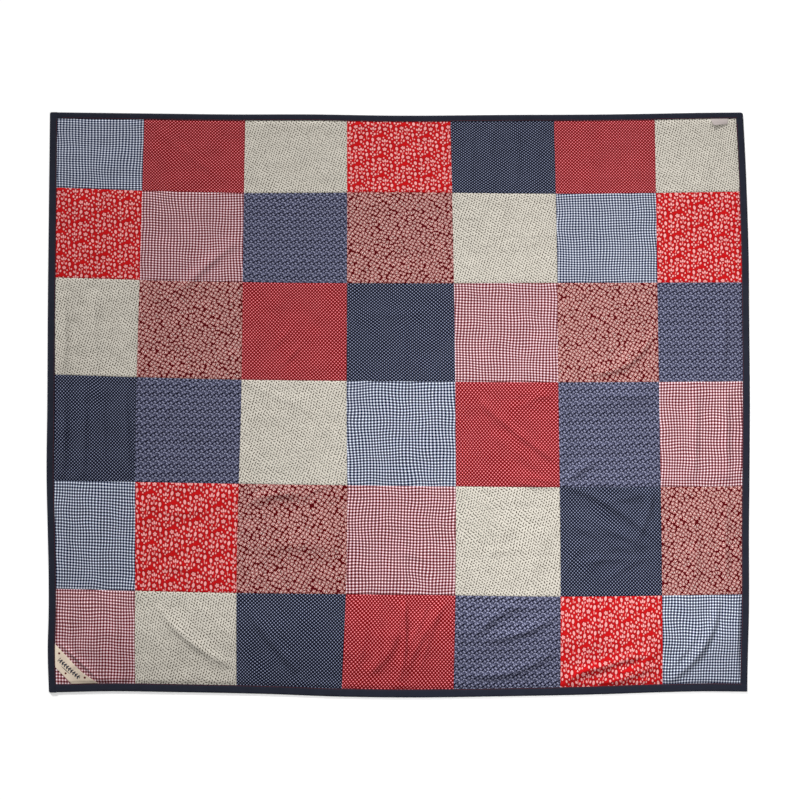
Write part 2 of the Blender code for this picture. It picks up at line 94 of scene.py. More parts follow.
# Finer folds and puckers that only the visible cloth has, in the same form
FINE_FOLDS = (
    (230, -150, 282, -157, 337, -167, 5.5, 1.8), (405, 76, 533, 61, 542, 213, 6, -1.1),
    (371, 213, 410, 181, 444, 131, 6, 1.4), (243, 12, 282, 38, 320, 12, 6, 0.6),
    (230, -9, 277, 10, 324, -14, 6, 0.6), (-252, 82, -222, 104, -201, 138, 5, 1.2),
    (-282, 112, -248, 134, -226, 168, 5, 0.9), (-209, -212, -184, -172, -128, -172, 5, 1.8),
    (-329, -225, -290, -169, -209, -206, 4.5, 1.4), (-670, 40, -666, -54, -672, -157, 8.5, 4.4),
    (-585, 44, -578, -54, -572, -157, 8, 4.4), (-708, -417, -696, -502, -687, -562, 8, 4),
    (-662, -413, -649, -502, -623, -592, 8, 3.6), (-610, -417, -602, -502, -580, -592, 7.5, 4),
    (-269, -470, -230, -502, -201, -560, 7, 1.4), (128, -413, 137, -464, 128, -507, 5.5, 1.8),
    (132, -590, 235, -598, 337, -588, 6, -1.2), (354, -592, 410, -549, 457, -562, 6, 2.4),
    (452, -562, 499, -588, 551, -526, 6, 2.4), (4, -317, 38, -323, 77, -336, 6, 1.5),
    (26, -300, 68, -308, 98, -323, 5.5, 1), (230, -212, 265, -223, 299, -221, 6, -0.6),
    (-418, 44, -405, 14, -408, -22, 6, 1.3), (-480, 10, -499, -24, -508, -71, 6, 1.2),
    (-478, -61, -414, -69, -352, -69, 6, 1.3), (-393, -84, -367, -101, -341, -114, 6, -1),
    (-337, 50, -252, 18, -162, -29, 8, 1), (154, 595, 160, 531, 152, 462, 8.5, 2),
    (201, 599, 194, 531, 203, 462, 8.5, 1.8), (252, 595, 258, 531, 250, 462, 8.5, 2),
    (299, 595, 292, 531, 301, 462, 9, 0.9), (-512, 586, -444, 526, -367, 475, 8, 1.1),
    (632, 35, 638, -63, 630, -161, 8.5, 4), (702, 31, 698, -63, 704, -161, 8, 4.2),
    (691, 240, 700, 146, 689, 61, 8.5, 3.4), (632, -204, 640, -306, 632, -391, 8.5, 2),
    (700, -195, 694, -297, 702, -391, 8.5, 3.6), (-713, 240, -706, 159, -713, 70, 8.5, 3.6),
    (-644, 245, -651, 159, -640, 70, 8.5, 2), (-713, -187, -702, -289, -713, -391, 8.5, 2.4),
    (-636, -191, -644, -289, -632, -391, 8.5, 2.2), (13, 253, 17, -12, 13, -169, 3.5, 1.4),
    (17, -187, 13, -396, 17, -596, 4, 2), (124, 362, 337, 358, 551, 364, 3.5, 0.6),
    (-102, -312, 4, -317, 111, -310, 3.5, 0.6), (563, -312, 644, -317, 726, -310, 3.5, 0.6),
    (359, -246, 431, -289, 516, -323, 8, 1.4), (410, -204, 478, -199, 538, -229, 6.5, -1),
    (431, -385, 495, -332, 546, -323, 7, 1.6), (154, -332, 218, -300, 320, -315, 8, 0.6),
    (171, -229, 213, -263, 282, -272, 7, 0.6), (-81, -417, -55, -502, -98, -579, 7.5, 1.3),
    (218, -417, 260, -455, 320, -417, 6.5, 1.4), (568, -438, 610, -502, 593, -571, 6.5, 1.6),
    (644, -426, 670, -481, 657, -545, 5.5, -1.1), (401, -417, 444, -481, 401, -528, 7, 1.4),
    (487, -430, 516, -490, 491, -545, 6.5, 1.2), (-551, -214, -487, -246, -367, -216, 8, 1),
    (-538, -353, -465, -332, -363, -379, 8, 1.1), (-316, 223, -290, 159, -312, 82, 8, 0.8),
    (-81, 202, 4, 176, 90, 210, 8.5, 0.9), (-98, -101, -4, -122, 107, -93, 8.5, 0.8),
    (175, 6, 256, -67, 350, -131, 8, 4.2), (243, -140, 282, -148, 329, -169, 6, 1.6),
    (423, -208, 478, -208, 529, -187, 7, 1.8), (359, -233, 431, -251, 529, -306, 8, 2.2),
    (401, -161, 478, -169, 559, -204, 16, 2.4), (499, -187, 516, -238, 551, -289, 8, -1.2),
    (371, -344, 431, -323, 516, -332, 8, 2), (346, -396, 359, -332, 401, -289, 7, 1.8),
    (-512, -426, -474, -502, -346, -562, 7.5, 2.6), (-431, -417, -393, -464, -354, -494, 8, 1.6),
    (-329, -430, -290, -490, -213, -571, 8, 3), (-290, -417, -243, -477, -218, -524, 7, 1.6),
    (64, -417, 47, -477, 13, -532, 6, 1.8), (98, -421, 68, -485, 47, -562, 7, 1.8),
    (-47, -426, -30, -494, -47, -571, 6.5, 1.8), (154, -421, 166, -460, 154, -490, 5.5, 2.2),
    (188, -426, 196, -455, 184, -485, 5.5, 2), (653, -460, 623, -524, 563, -575, 5.5, 2.2),
    (691, -417, 691, -485, 644, -549, 5, -1.3), (346, 35, 354, -12, 346, -76, 7, 2.2),
    (359, -54, 380, -88, 371, -140, 7, 2), (376, 3, 444, -5, 533, 1, 18, 2.6),
    (384, -97, 431, -80, 474, -101, 6, 1.6), (-111, -204, -98, -246, -111, -332, 6, 1),
    (-715, 40, -708, -54, -717, -157, 7.5, 3), (-627, 44, -632, -54, -623, -157, 7.5, 2.6),
    (529, -174, 538, -225, 548, -289, 7.5, 2.6), (333, -165, 444, -191, 568, -302, 10, 5.6),
    (431, -268, 487, -280, 538, -306, 8, 0.7), (13, -417, 21, -502, 4, -588, 5.5, 4.4),
    (132, -417, 141, -472, 124, -545, 5, 2.6), (-320, -306, -226, -291, -124, -310, 26, 3.6),
    (-316, -221, -230, -229, -124, -216, 15, -1.2), (363, -259, 440, -274, 525, -285, 14, 2.2),
    (154, 35, 188, 1, 218, -54, 8, 1.8), (149, -417, 158, -460, 137, -515, 5.5, 3),
    (179, -413, 184, -447, 166, -485, 5, 2.6), (559, -178, 551, -229, 559, -280, 5.5, 1.6),
    (544, -174, 538, -229, 508, -293, 7.5, 3.4), (388, -304, 463, -308, 542, -297, 12, 1.6),
    (-728.5, -503, -678, -545.8, -634, -590.5, 3.2, 4.2), (661.5, 613, 664, 604, 670, 593, 2.8, 3),
)

# Shares of the main creases' reach and height that the visible cloth takes
MAIN_REACH_SHARE = 0.84
MAIN_HEIGHT_SHARE = 1.50

# Section of every crease: steep on the side that it leans to, gentle on the other
LEAN = (0.42, -0.91)
LEAN_SHARPNESS = 0.9
STEEP_SHARE = 0.76
GENTLE_SHARE = 1.35
CREASE_SAMPLES = 12
CREASE_FADE = 0.6
CREST_POWER = 1.75

# Broad swell of the bottom row of patches: height, place and reach of its crest, and where it starts
SWELL_HEIGHT = 0.0046
SWELL_Y = -0.500
SWELL_REACH = 0.070
SWELL_START = -0.705

# Sheet of patches
SHEET_AT_SEAMS = 0.0026
PATCH_CROWN = 0.0006
SEAM_FLANK = 0.010
SEAM_DEPTH = 0.0007
SEAM_ROLL = 0.0012
SEAM_GAP = 0.0001
ALLOWANCE_WIDTH = 0.007
ALLOWANCE_HEIGHT = 0.00022
ALLOWANCE_SLOPE = 0.0025
PUCKER_PITCH = 0.0092
PUCKER_HEIGHT = 0.00016
PUCKER_REACH = 0.007
PUCKER_DRIFT = 2.6
DRIFT_LENGTH = 0.071
STRENGTH_LENGTH = 0.123
SHEET_MIN = 0.0016
UNDERSIDE = 0.0002
TUCK = 0.0025
TUCK_HEIGHT = 0.0022
TUCK_RISE = 0.0075

# Waves of the cloth's height and of its threads across and up: height, shortest and longest, seed
HEIGHT_WAVES = ((0.00034, 0.034, 0.120, 5),)
WAVES_ACROSS = ((0.0012, 0.09, 0.26, 11), (0.0005, 0.040, 0.100, 13))
WAVES_UP = ((0.0010, 0.09, 0.26, 12), (0.0004, 0.040, 0.100, 14))

# How far each patch's print is turned (degrees) and shifted, and how its tone differs
PRINT_TURN = 1.6
PRINT_SHIFT = 0.2
TONE_SPREAD = 0.015

# Grid of one patch: distances from the seam, then even steps, at least LEAST_STEPS
SEAM_DISTANCES = (0.0005, 0.0012, 0.0022, 0.0036, 0.0055, 0.0080)
GRID_STEP = 0.0027
LEAST_STEPS = 4

# Fabrics by letter, rows from the top, and the name of each fabric
PATCH_MAP = (
    "NPCFDPC",
    "FRVMCNF",
    "CMPDRMV",
    "DVCNPVR",
    "NFMRCDM",
    "RCDPVFN",
)
FABRIC_NAMES = {
    "N": "navy_gingham",
    "R": "red_gingham",
    "P": "crimson_pin_dot",
    "D": "navy_pin_dot",
    "C": "cream_sprig",
    "F": "scarlet_floral",
    "M": "maroon_blossom",
    "V": "indigo_vine",
}
PATCH_COLUMNS = len(PATCH_MAP[0])
PATCH_ROWS = len(PATCH_MAP)

# How much the cloth's print is drawn out in each column from the left and each row from the top
COLUMN_STRETCH = (0.97, 1.06, 1.05, 1.09, 1.04, 0.96, 1.00)
ROW_STRETCH = (0.79, 0.87, 0.92, 0.98, 1.02, 1.06)

# Binding tape: its section has STRIP_INSIDE points inside the fold, and it lies still near the corners
OUTWARD = {"left": -1.0, "right": 1.0, "top": 1.0, "bottom": -1.0}
BINDING_HEIGHT = 0.0034
BINDING_PLY = 0.0009
BINDING_STEP = 0.004
BINDING_SEEDS = {"left": 1.0, "right": 2.0, "top": 3.0, "bottom": 4.0}
STRIP_INSIDE = 9
CORNER_STILL = 0.019
CORNER_CALM = 0.006
CORNER_GAP = 0.00003
CORNER_ROUND = {"bottom left": 0.0030, "bottom right": 0.0016, "top left": 0.0036, "top right": 0.0048}
CORNER_STEPS = (0.0, 0.07, 0.21, 0.43, 0.71, 1.0)

# Puckers of the tape beside its stitching: lengths of the short and slow waves, their height and reach
WAVE_LENGTH = 0.0131
WAVE_DRIFT = (2.2, 0.087)
SLOW_LENGTHS = (0.061, 0.193)
WAVE_HEIGHT = 0.00010
WAVE_REACH = 0.00018
SLOW_HEIGHT = 0.00006
SLOW_REACH = 0.00012
INNER_EDGE = 0.0012

# Stitches on the tape
STITCH_INSET = 0.0014
STITCH_LENGTH = 0.0034
STITCH_PITCH = 0.0040
STITCH_RADIUS = 0.00034
STITCH_MARGIN = 0.012
STITCH_DIP = 0.00016
STITCH_RISE = 0.00042
STITCH_SIDES = 5
STITCH_RINGS = 6

# Corner ribbon and care label, as in the part's source
RIBBON_GRID = (17, 61)
RIBBON_THICKNESS = 0.0009
RIBBON_LIFT = 0.0036
RIBBON_UPPER = {"x": (-0.7320, -0.7067, -0.6741, -0.6380), "y": (-0.5095, -0.5350, -0.5685, -0.5945)}
RIBBON_LOWER = {"x": (-0.7320, -0.7207, -0.7078, -0.6960), "y": (-0.5587, -0.5700, -0.5829, -0.5950)}
RIBBON_CENTRE = (-0.7010, -0.5625)
RIBBON_ANGLE = math.radians(-42)
LABEL_GRID = (13, 25)
LABEL_THICKNESS = 0.0008
LABEL_CURL = 0.0032
LABEL_SEAM_X = (0.6655, 0.7035)
LABEL_FREE_X = (0.6715, 0.7015)
LABEL_FREE_Y = (0.5955, 0.5985)
TRIM_GAP = 0.0002
TRIM_CLEARANCE = 0.0005
LYING_MIN = 0.0023

# Floor, lamps and camera: the frame shows FRAME_WIDTH of cloth at the height CLOTH_LEVEL
FLOOR_HALF = 6
FLOOR_LEVEL = -0.0003
FLOOR_GLOW = 0.36
WORLD_STRENGTH = 0.16
SUN_STRENGTH = 3.75
SUN_SOFTNESS = 11
SUN_DIRECTION = (0.38, -0.84, -0.38)
LAMP_POWER = 8.8
LAMP_SIZE = 0.9
LAMP_PLACE = (0.42, -0.10, 1.12)
CAMERA_PLACE = (0.0038, 0.0102)
LENS = 85.0
SENSOR = 36.0
FRAME_WIDTH = 1.7058
CLOTH_LEVEL = 0.003

MM = 0.001


def ease(value):
    """0 up to 0, 1 from 1 on, smooth between them."""
    f = np.clip(value, 0.0, 1.0)
    return f * f * (3 - 2 * f)


def smooth_line(stations, values, at):
    """Smooth curve through (station, value) pairs, read at the places in at."""
    stations = np.asarray(stations, float)
    values = np.asarray(values, float)
    slopes = np.gradient(values, stations)
    cell = np.clip(np.searchsorted(stations, at) - 1, 0, len(stations) - 2)
    width = stations[cell + 1] - stations[cell]
    f = np.clip((at - stations[cell]) / width, 0.0, 1.0)
    first = (1 + 2 * f) * (1 - f) ** 2 * values[cell] + f * (1 - f) ** 2 * width * slopes[cell]
    second = f * f * (3 - 2 * f) * values[cell + 1] - f * f * (1 - f) * width * slopes[cell + 1]
    return first + second


def edge(side, at, inset=0.0):
    """Place of one side's outer edge, moved towards the middle by inset."""
    table, across, along, inward = {
        "left": (EDGE_LEFT, "x", "y", 1.0),
        "right": (EDGE_RIGHT, "x", "y", -1.0),
        "top": (EDGE_TOP, "y", "x", -1.0),
        "bottom": (EDGE_BOTTOM, "y", "x", 1.0),
    }[side]
    return smooth_line(table[along], table[across], at) + inward * inset


def sheet_side(side, at):
    """Place where the patches end, a little way under the binding tape."""
    return edge(side, at, BINDING_WIDTH[side] - TUCK)


def column_lines(y):
    """x of the lines that bound the patch columns, at heights y."""
    seams = [smooth_line(SEAM_STATION_Y, seam, y) for seam in COLUMN_SEAMS]
    return np.stack([sheet_side("left", y)] + seams + [sheet_side("right", y)])


def row_lines(x):
    """y of the lines that bound the patch rows, from the bottom up, at places x."""
    seams = [smooth_line(SEAM_STATION_X, seam, x) for seam in ROW_SEAMS]
    return np.stack([sheet_side("bottom", x)] + seams + [sheet_side("top", x)])


def between(lines, position):
    """Value at a fractional position among a stack of lines."""
    first = np.minimum(np.floor(position).astype(int), len(lines) - 2)
    f = position - first
    pick = np.arange(len(position))
    return lines[first, pick] * (1 - f) + lines[first + 1, pick] * f


def sheet_points(s, t):
    """Plan position of patch coordinates: s counts columns from the left, t rows from the bottom."""
    x = np.interp(s, (0, PATCH_COLUMNS), (EDGE_LEFT["x"][0], EDGE_RIGHT["x"][0]))
    y = np.interp(t, (0, PATCH_ROWS), (EDGE_BOTTOM["y"][0], EDGE_TOP["y"][0]))
    for _ in range(8):
        x = between(column_lines(y), s)
        y = between(row_lines(x), t)
    return x, y


def crease_heights(creases, x, y, reach_share=1.0, height_share=1.0):
    """Height that creases add: each follows its arc, fades out at both ends and leans to one side."""
    total = np.zeros_like(x)
    f = np.linspace(0.0, 1.0, CREASE_SAMPLES + 1)[:, None]
    for crease in np.array(creases) * MM:
        start, bend, end = crease[:6].reshape(3, 2)
        reach = crease[6] * reach_share
        height = crease[7] * height_share
        path = start * (1 - f) ** 2 + 2 * bend * f * (1 - f) + end * f ** 2
        low = path.min(axis=0) - 3 * reach
        high = path.max(axis=0) + 3 * reach
        close = np.flatnonzero((x > low[0]) & (x < high[0]) & (y > low[1]) & (y < high[1]))
        if not len(close):
            continue
        px, py = x[close], y[close]
        nearest = np.full_like(px, np.inf)
        fade = np.zeros_like(px)
        lean = np.zeros_like(px)
        for k in range(CREASE_SAMPLES):
            run = path[k + 1] - path[k]
            g = np.clip(((px - path[k, 0]) * run[0] + (py - path[k, 1]) * run[1]) / (run @ run), 0.0, 1.0)
            off_x = px - path[k, 0] - g * run[0]
            off_y = py - path[k, 1] - g * run[1]
            away = np.hypot(off_x, off_y)
            here = np.sin(np.pi * (k + g) / CREASE_SAMPLES) ** CREASE_FADE
            fade = np.where(away < nearest, here, fade)
            side = (off_x * LEAN[0] + off_y * LEAN[1]) / np.maximum(away, 1e-9)
            lean = np.where(away < nearest, side, lean)
            nearest = np.minimum(away, nearest)
        steepness = np.clip(0.5 + LEAN_SHARPNESS * lean, 0.0, 1.0)
        share = GENTLE_SHARE + (STEEP_SHARE - GENTLE_SHARE) * steepness
        total[close] += height * fade * np.exp(-(nearest / (reach * share)) ** CREST_POWER)
    return total


def ripples(x, y, shortest, longest, seed, count=26):
    """Even random waves between two wavelengths, about 1 high."""
    random = np.random.RandomState(seed)
    total = np.zeros_like(x)
    for _ in range(count):
        length = shortest * (longest / shortest) ** random.rand()
        turn = random.rand() * np.pi
        phase = random.rand() * 2 * np.pi
        total += np.sin(2 * np.pi * (x * np.cos(turn) + y * np.sin(turn)) / length + phase)
    return total * np.sqrt(2 / count)


def waves(table, x, y):
    """Sum of random waves: height, shortest and longest wave and seed of each."""
    return sum(height * ripples(x, y, *settings) for height, *settings in table)


def seam_detail(lines, place, along, seed):
    """Valley, pressed allowance and small puckers beside a family of seams."""
    offsets = place - lines
    nearest = np.abs(offsets).argmin(axis=0)
    offset = offsets[nearest, np.arange(len(place))]
    away = np.abs(offset)
    valley = -SEAM_DEPTH * np.exp(-away / SEAM_ROLL)
    pressed = ease((ALLOWANCE_WIDTH - offset) / ALLOWANCE_SLOPE)
    allowance = ALLOWANCE_HEIGHT * np.where(offset > 0, pressed, 0.0)
    turns = 2 * np.pi * along
    phase = turns / PUCKER_PITCH + PUCKER_DRIFT * np.sin(turns / DRIFT_LENGTH + seed + 2.0 * nearest)
    strength = 0.6 + 0.4 * np.sin(turns / STRENGTH_LENGTH + 1.7 * seed + nearest)
    puckers = PUCKER_HEIGHT * strength * np.sin(phase) * np.exp(-away / PUCKER_REACH)
    return valley + allowance + puckers, away


def cloth_height(x, y):
    """Top of the patches at plan points."""
    column_detail, to_column = seam_detail(column_lines(y)[1:-1], x, y, 1.0)
    row_detail, to_row = seam_detail(row_lines(x)[1:-1], y, x, 2.0)
    z = SHEET_AT_SEAMS + column_detail + row_detail
    z = z + PATCH_CROWN * (1 - np.exp(-to_column / SEAM_FLANK)) * (1 - np.exp(-to_row / SEAM_FLANK))
    z = z + crease_heights(MAIN_CREASES, x, y, MAIN_REACH_SHARE, MAIN_HEIGHT_SHARE)
    z = z + crease_heights(FINE_FOLDS, x, y) + waves(HEIGHT_WAVES, x, y)
    swell = SWELL_HEIGHT * np.exp(-((y - SWELL_Y) / SWELL_REACH) ** 2)
    z = z + swell * np.clip((x - SWELL_START) / SWELL_REACH, 0.0, 1.0)
    z = np.maximum(z, SHEET_MIN)
    inside = np.minimum.reduce([
        x - sheet_side("left", y),
        sheet_side("right", y) - x,
        y - sheet_side("bottom", x),
        sheet_side("top", x) - y,
    ])
    rise = ease((inside - TUCK) / TUCK_RISE)
    return TUCK_HEIGHT * (1 - rise) + z * rise


def patch_stations(length):
    """Fractions across a patch: close steps beside the seams, then even ones."""
    near = np.array((SEAM_GAP / 2, *SEAM_DISTANCES[:-1]))
    inner = SEAM_DISTANCES[-1]
    steps = max(int(round((length - 2 * inner) / GRID_STEP)), LEAST_STEPS)
    middle = np.linspace(inner, length - inner, steps + 1)
    return np.concatenate([near, middle, (length - near)[::-1]]) / length


def shell(name, points, faces, attributes=(), sharp=40):
    """One mesh object from points and faces, with point attributes."""
    mesh = bpy.data.meshes.new(name)
    mesh.from_pydata([tuple(p) for p in points], [], faces)
    for key, kind, values in attributes:
        layer = mesh.attributes.new(key, kind, "POINT")
        field = "vector" if kind == "FLOAT_VECTOR" else "value"
        layer.data.foreach_set(field, np.asarray(values, float).ravel())
    mesh.shade_smooth()
    mesh.set_sharp_from_angle(angle=math.radians(sharp))
    mesh.validate()
    piece = bpy.data.objects.new(name, mesh)
    bpy.context.scene.collection.objects.link(piece)
    return piece


def grid_faces(rows, columns, start=0, flip=False):
    """Quads of a grid of points laid out row by row."""
    k = start + (np.arange(rows - 1)[:, None] * columns + np.arange(columns - 1)[None, :]).ravel()
    quads = np.stack([k, k + 1, k + 1 + columns, k + columns], axis=1)
    return (quads[:, ::-1] if flip else quads).tolist()


def grid_border(rows, columns, start=0):
    """Indices round the border of a grid of points, in the order of its faces."""
    bottom = [start + k for k in range(columns - 1)]
    right = [start + row * columns + columns - 1 for row in range(rows - 1)]
    top = [start + (rows - 1) * columns + k for k in range(columns - 1, 0, -1)]
    left = [start + row * columns for row in range(rows - 1, 0, -1)]
    return bottom + right + top + left


def wall(upper, lower):
    """Quads between two closed rows of points."""
    count = len(upper)
    return [(upper[(k + 1) % count], upper[k], lower[k], lower[(k + 1) % count]) for k in range(count)]


def tube_faces(rings, count, start=0):
    """Walls and both ends of a closed tube, its points laid out ring by ring."""
    rows = [range(low, low + count) for low in range(start, start + rings * count, count)]
    faces = [face for low, high in zip(rows, rows[1:]) for face in wall(high, low)]
    return faces + [tuple(reversed(rows[0])), tuple(rows[-1])]


def make_patches(letter):
    """All patches of one fabric as one closed piece with a flat underside, and their area."""
    middle = np.zeros(1)
    widths = np.diff(column_lines(middle)[:, 0])
    heights = np.diff(row_lines(middle)[:, 0])
    points, faces, cloth, tone, reverse = [], [], [], [], []
    count = 0
    area = 0.0
    for row_from_top, letters in enumerate(PATCH_MAP):
        for column, found in enumerate(letters):
            if found != letter:
                continue
            row = PATCH_ROWS - 1 - row_from_top
            random = np.random.RandomState(100 + 7 * row_from_top + column)
            s_line = column + patch_stations(widths[column])
            t_line = row + patch_stations(heights[row])
            s, t = (grid.ravel() for grid in np.meshgrid(s_line, t_line))
            x, y = sheet_points(s, t)
            z = cloth_height(x, y)
            u = (s - column - 0.5) * widths[column]
            v = (t - row - 0.5) * heights[row]
            u = u / COLUMN_STRETCH[column] + waves(WAVES_ACROSS, x, y)
            v = v / ROW_STRETCH[row_from_top] + waves(WAVES_UP, x, y)
            turn = math.radians(random.uniform(-PRINT_TURN, PRINT_TURN))
            shift = random.uniform(-PRINT_SHIFT, PRINT_SHIFT, 2)
            across = u * math.cos(turn) - v * math.sin(turn) + shift[0]
            up = u * math.sin(turn) + v * math.cos(turn) + shift[1]
            rows, columns = len(t_line), len(s_line)
            size = rows * columns
            border = grid_border(rows, columns, count)
            local = np.array(border) - count
            points.append(np.stack([x, y, z], axis=1))
            points.append(np.stack([x[local], y[local], np.full(len(local), UNDERSIDE)], axis=1))
            lower = [count + size + k for k in range(len(border))]
            faces += grid_faces(rows, columns, count) + wall(border, lower) + [tuple(reversed(lower))]
            plan = np.stack([across, up, np.zeros(size)], axis=1)
            cloth += [plan, plan[local]]
            tone.append(np.full(size + len(local), 1.0 + random.uniform(-TONE_SPREAD, TONE_SPREAD)))
            reverse += [np.zeros(size), np.ones(len(local))]
            count += size + len(local)
            area += float(widths[column] * heights[row])
    name = "patches_" + FABRIC_NAMES[letter]
    attributes = (
        ("cloth", "FLOAT_VECTOR", np.concatenate(cloth)),
        ("tone", "FLOAT", np.concatenate(tone)),
        ("reverse", "FLOAT", np.concatenate(reverse)),
    )
    return shell(name, np.concatenate(points), faces, attributes, sharp=50), area


def strip_stations(side):
    """Places along a strip, close together at its outer corners, and how round each end is."""
    if side == "left":
        start = edge("bottom", EDGE_LEFT["x"][0])
        stop = edge("top", EDGE_LEFT["x"][-1])
        corners = (CORNER_ROUND["bottom left"], CORNER_ROUND["top left"])
    elif side == "right":
        start = edge("bottom", EDGE_RIGHT["x"][0], BINDING_WIDTH["bottom"] + CORNER_GAP)
        stop = edge("top", EDGE_RIGHT["x"][-1], BINDING_WIDTH["top"] + CORNER_GAP)
        corners = (0.0, 0.0)
    else:
        heights = EDGE_BOTTOM["y"] if side == "bottom" else EDGE_TOP["y"]
        start = edge("left", heights[0], BINDING_WIDTH["left"] + CORNER_GAP)
        stop = edge("right", heights[-1])
        corners = (0.0, CORNER_ROUND[side + " right"])
    start, stop = float(start), float(stop)
    line = np.linspace(start, stop, int((stop - start) / BINDING_STEP))
    bend = np.array(CORNER_STEPS)
    if corners[0]:
        line = np.concatenate([start + bend * corners[0], line[line > start + 1.5 * corners[0]]])
    if corners[1]:
        line = np.concatenate([line[line < stop - 1.5 * corners[1]], (stop - bend * corners[1])[::-1]])
    return line, corners


def strip_section(width):
    """Reach and height of the folded tape's section, along its inside and back round its outside."""
    top = BINDING_HEIGHT
    return (
        (0.0, top - BINDING_PLY),
        (0.5 * width, top - BINDING_PLY),
        (width - 0.0028, top - BINDING_PLY),
        (width - 0.0014, 0.64 * top),
        (width - 0.0011, 0.52 * top),
        (width - 0.0014, 0.38 * top),
        (width - 0.0026, BINDING_PLY),
        (0.5 * width, BINDING_PLY),
        (TUCK + 0.0002, BINDING_PLY),
        (TUCK + 0.0002, 0.0),
        (width - 0.0018, 0.0),
        (width - 0.0007, 0.12 * top),
        (width - 0.0001, 0.33 * top),
        (width, 0.55 * top),
        (width - 0.0004, 0.78 * top),
        (width - 0.0013, 0.94 * top),
        (width - 0.0026, top),
        (0.72 * width, 1.02 * top),
        (0.50 * width, 1.00 * top),
        (0.32 * width, 0.99 * top),
        (STITCH_INSET + 0.0010, 0.975 * top),
        (STITCH_INSET, 0.90 * top),
        (STITCH_INSET - 0.0010, 0.955 * top),
        (0.0005, 0.955 * top),
        (0.0001, 0.90 * top),
    )


def strip_end(side, last, across, place):
    """Where each point of a strip's end lies, so that it follows the inner edge of the strip it meets."""
    neighbours = {("right", 0): "bottom", ("right", 1): "top", ("bottom", 0): "left", ("top", 0): "left"}
    meets = neighbours.get((side, last))
    if meets is None:
        return np.full(len(across), place)
    return edge(meets, across, BINDING_WIDTH[meets] + CORNER_GAP)


def make_strip(side):
    """One strip of binding tape, folded round the edge and puckered along its stitching, and its length."""
    line, corners = strip_stations(side)
    width = BINDING_WIDTH[side]
    inner = edge(side, line, width)
    upright = side in ("left", "right")
    seed = BINDING_SEEDS[side]
    section = np.array(strip_section(width))
    turns = 2 * np.pi * line
    wave = np.sin(turns / WAVE_LENGTH + WAVE_DRIFT[0] * np.sin(turns / WAVE_DRIFT[1] + seed))
    slow = np.sin(turns / SLOW_LENGTHS[0] + seed) + np.sin(turns / SLOW_LENGTHS[1] + 2 * seed)
    still = CORNER_STILL if upright else 0.0
    calm = np.clip((np.minimum(line - line[0], line[-1] - line) - still) / CORNER_CALM, 0.0, 1.0)
    cut_back = np.zeros(len(line))
    for bend, away in ((corners[0], line - line[0]), (corners[1], line[-1] - line)):
        if bend:
            room = np.clip(bend - away, 0.0, None)
            cut_back += bend - np.sqrt(np.maximum(bend ** 2 - room ** 2, 0.0))
    points, cloth = [], []
    girth = np.concatenate([[0.0], np.cumsum(np.hypot(*np.diff(section, axis=0).T))])
    for k, place in enumerate(line):
        reach = section[:, 0] - cut_back[k] * np.clip(2 * section[:, 0] / width - 1, 0.0, 1.0)
        on_top = (section[:, 1] > 0.85 * BINDING_HEIGHT) & (section[:, 0] < 0.8 * width)
        height = section[:, 1] + np.where(on_top, WAVE_HEIGHT * wave[k] + SLOW_HEIGHT * slow[k], 0.0)
        pucker = calm[k] * (WAVE_REACH * wave[k] + SLOW_REACH * slow[k])
        reach = reach + np.where(section[:, 0] < INNER_EDGE, pucker, 0.0)
        across = inner[k] + OUTWARD[side] * reach
        along = np.full(len(section), place)
        if k in (0, len(line) - 1):
            along = strip_end(side, int(k > 0), across, place)
            upper_ply = section[:STRIP_INSIDE, 1] > 0.5 * BINDING_HEIGHT
            height[:STRIP_INSIDE] = np.where(upper_ply, 0.505, 0.495) * BINDING_HEIGHT
        plan = [across, along] if upright else [along, across]
        points.append(np.stack([*plan, height], axis=1))
        cloth.append(np.stack([along, girth, np.zeros(len(section))], axis=1))
    faces = tube_faces(len(line), len(section))
    attributes = (("cloth", "FLOAT_VECTOR", np.concatenate(cloth)),)
    piece = shell("binding_tape_" + side, np.concatenate(points), faces, attributes, sharp=50)
    turn_outward(piece)
    return piece, float(line[-1] - line[0])


def turn_outward(piece):
    """Makes every face of a closed piece look outward."""
    builder = bmesh.new()
    builder.from_mesh(piece.data)
    bmesh.ops.recalc_face_normals(builder, faces=builder.faces)
    builder.to_mesh(piece.data)
    builder.free()


def make_stitches(side):
    """A row of stitches along one strip, each a short thread that dips into the tape at both ends."""
    line, _ = strip_stations(side)
    start, stop = line[0] + STITCH_MARGIN, line[-1] - STITCH_MARGIN
    if side == "left":
        start, stop = line[0] + BINDING_WIDTH["bottom"], line[-1] - BINDING_WIDTH["top"]
    points, faces = [], []
    turn = np.arange(STITCH_SIDES) * 2 * np.pi / STITCH_SIDES
    for centre in np.arange(start, stop, STITCH_PITCH):
        first = len(points)
        for ring in range(STITCH_RINGS):
            f = ring / (STITCH_RINGS - 1)
            along = centre + STITCH_LENGTH * (f - 0.5)
            rise = np.sin(np.pi * f)
            radius = STITCH_RADIUS * (0.45 + 0.55 * rise)
            z = 0.90 * BINDING_HEIGHT - STITCH_DIP + STITCH_RISE * rise
            across = float(edge(side, along, BINDING_WIDTH[side])) + OUTWARD[side] * STITCH_INSET
            for angle in turn:
                a, b = across + radius * np.cos(angle), z + radius * np.sin(angle)
                points.append((a, along, b) if side in ("left", "right") else (along, a, b))
        faces += tube_faces(STITCH_RINGS, STITCH_SIDES, first)
    piece = shell("binding_stitches_" + side, points, faces)
    turn_outward(piece)
    return piece


